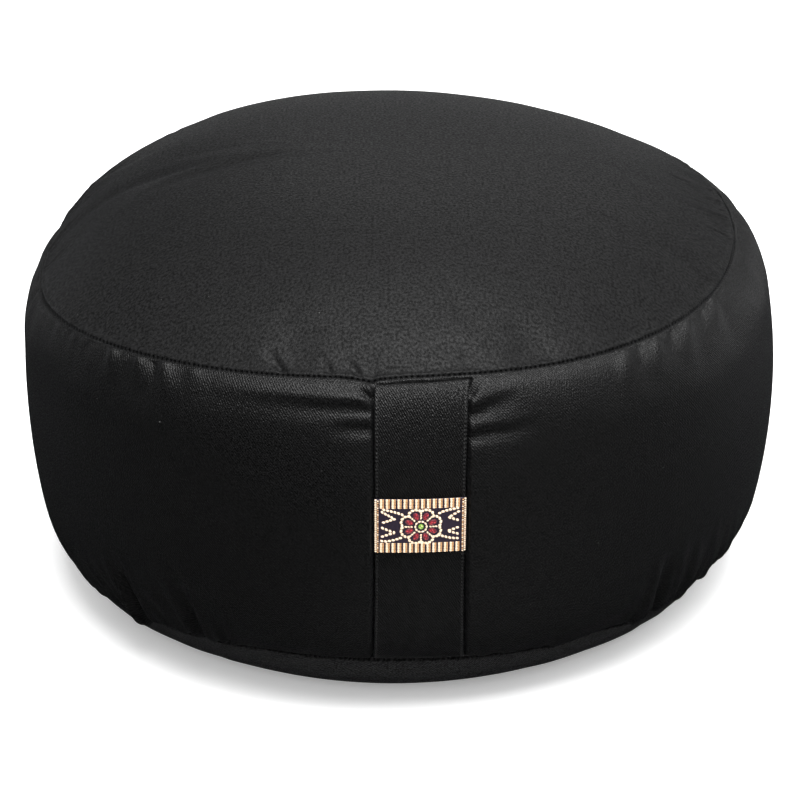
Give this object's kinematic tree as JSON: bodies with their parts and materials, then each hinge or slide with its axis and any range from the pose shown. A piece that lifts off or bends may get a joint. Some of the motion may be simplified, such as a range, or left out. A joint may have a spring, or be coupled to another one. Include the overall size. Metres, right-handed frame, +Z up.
{
  "type": "meditation cushion",
  "caption": "Round drum-shaped floor cushion of black cotton twill with a crowned top, a bulging side band, a flat handle strap down the front and a small woven ribbon.",
  "frame": {"origin": "middle of the footprint, on the surface that the cushion rests on", "axes": "+Z up; -Y towards the front, where the handle strap runs; +X to the right of somebody who faces the strap"},
  "size_m": [0.326, 0.3323, 0.186],
  "materials": {
    "twill": "black cotton twill, matt with a faint sheen",
    "strap_twill": "black cotton twill, folded and pressed flat",
    "ribbon_yarn": "woven ribbon of cream and gold yarn on a dark ground, with a red flower"
  },
  "bodies": {
    "root": {"cushion": "twill", "handle_strap": "strap_twill", "woven_ribbon": "ribbon_yarn"}
  },
  "joints": []
}
